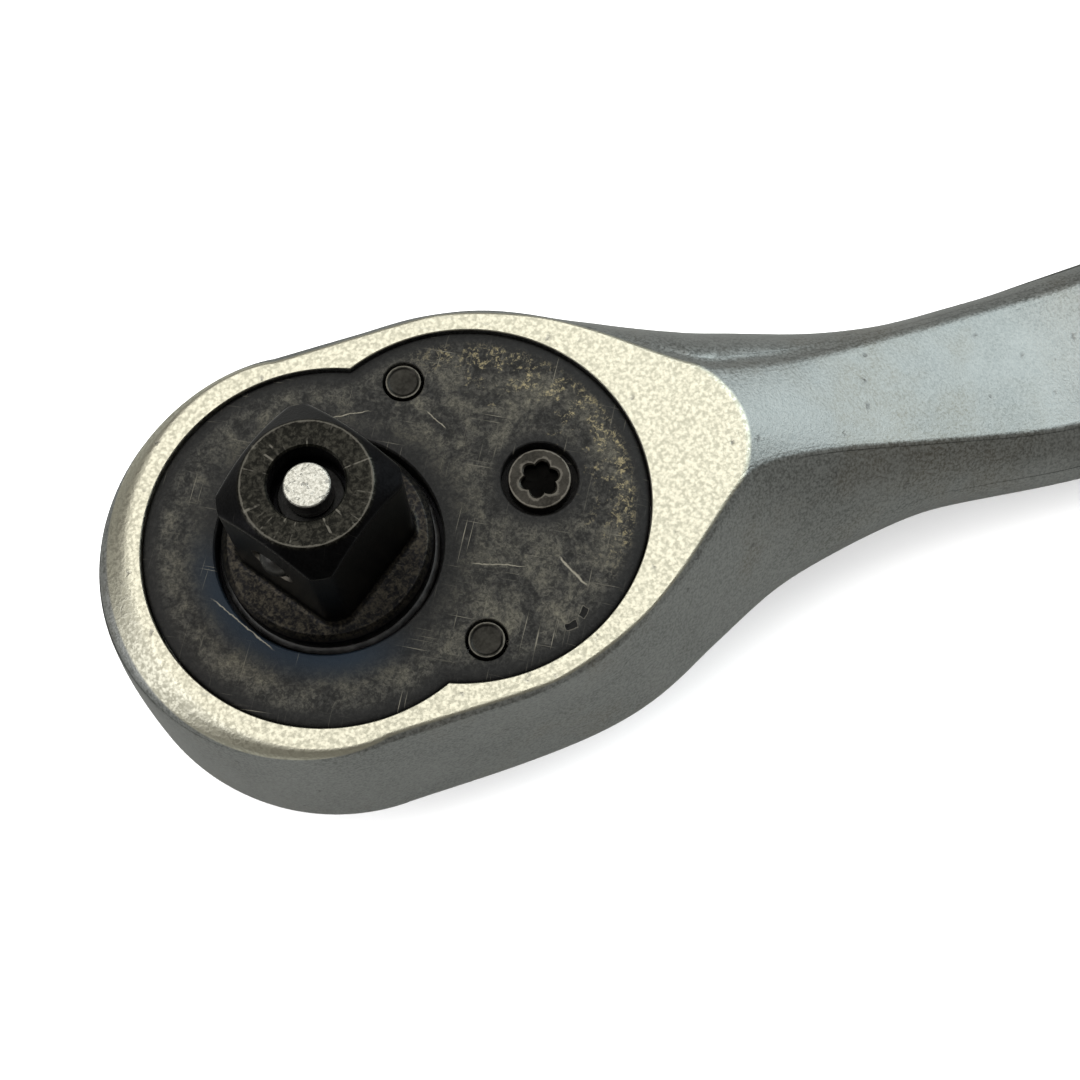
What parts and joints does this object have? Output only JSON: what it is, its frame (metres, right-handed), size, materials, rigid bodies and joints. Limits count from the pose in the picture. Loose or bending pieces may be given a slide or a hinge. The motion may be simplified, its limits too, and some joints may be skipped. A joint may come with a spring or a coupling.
{
  "type": "ratchet wrench",
  "caption": "Pear-head reversible ratchet wrench: black square drive, screwed cover plate, reversing lever and release button behind, and a flat forged metal handle.",
  "frame": {"origin": "on the drive axis, at the thumb face of the socket release button on the back of the head", "axes": "+X along the handle from the head to the butt, +Z along the drive axis out of the square's end, +Y to the left looking along the handle with the square up"},
  "size_m": [0.183, 0.0328, 0.0338],
  "materials": {
    "satin_chrome": "satin chrome plate over a bead-blasted forging",
    "black_phosphate": "oiled black phosphate, rubbed grey on the high spots",
    "black_oxide": "black oxide, semi-matt",
    "bright_steel": "bright machined steel",
    "spring_steel": "hardened steel, lightly oiled",
    "black_rubber": "smooth matt rubber"
  },
  "bodies": {
    "frame": {"body": "satin_chrome", "cover_plate": "black_phosphate", "cover_screw": "black_phosphate", "pawl_pin_left": "bright_steel", "pawl_pin_right": "bright_steel", "thrust_washer": "spring_steel", "click_spring": "spring_steel"},
    "drive": {"drive_anvil": "black_oxide", "drive_o_ring": "black_rubber", "release_spring": "spring_steel"},
    "release": {"release_button": "bright_steel", "release_plunger": "bright_steel", "release_clip": "spring_steel"},
    "ball": {"socket_ball": "bright_steel"},
    "selector": {"reverse_lever": "satin_chrome", "selector_cam": "spring_steel", "selector_snap_ring": "spring_steel", "lever_o_ring": "black_rubber"},
    "left_pawl": {"pawl_left": "spring_steel", "pawl_spring_left": "bright_steel"},
    "right_pawl": {"pawl_right": "spring_steel", "pawl_spring_right": "bright_steel"},
    "click": {"click_ball": "bright_steel"}
  },
  "joints": [
    {"name": "drive_spin", "type": "hinge", "parent": "frame", "child": "drive", "pos_m": [0, 0, 0], "axis": [0, 0, 1], "continuous": true},
    {"name": "lever_throw", "type": "hinge", "parent": "frame", "child": "selector", "pos_m": [0, 0, 0], "axis": [0, 0, 1], "range_deg": [0, 40]},
    {"name": "left_pawl_swing", "type": "hinge", "parent": "frame", "child": "left_pawl", "pos_m": [0.00838, 0.01004, 0.0133], "axis": [0, 0, 1], "range_deg": [0, 9]},
    {"name": "right_pawl_swing", "type": "hinge", "parent": "frame", "child": "right_pawl", "pos_m": [0.00838, -0.01004, 0.0133], "axis": [0, 0, 1], "range_deg": [0, 9]},
    {"name": "release_press", "type": "slide", "parent": "drive", "child": "release", "axis": [0, 0, 1], "range_m": [0, 0.0016], "stiffness_N_per_m": 1500, "springref_m": -0.002, "deforming": ["release_spring"]},
    {"name": "socket_ball_in", "type": "slide", "parent": "drive", "child": "ball", "axis": [0.8039, 0.5948, 0], "range_m": [0, 0.00054]},
    {"name": "click_ball_press", "type": "slide", "parent": "frame", "child": "click", "axis": [0, 0, 1], "range_m": [0, 0.0006], "stiffness_N_per_m": 800, "springref_m": -0.0005, "deforming": ["click_spring"]}
  ],
  "couplings": [
    {"joint": "left_pawl_swing", "follows": "lever_throw", "ratio": 0.225},
    {"joint": "right_pawl_swing", "follows": "lever_throw", "ratio": 0.225},
    {"joint": "socket_ball_in", "follows": "release_press", "ratio": 0.33333}
  ]
}
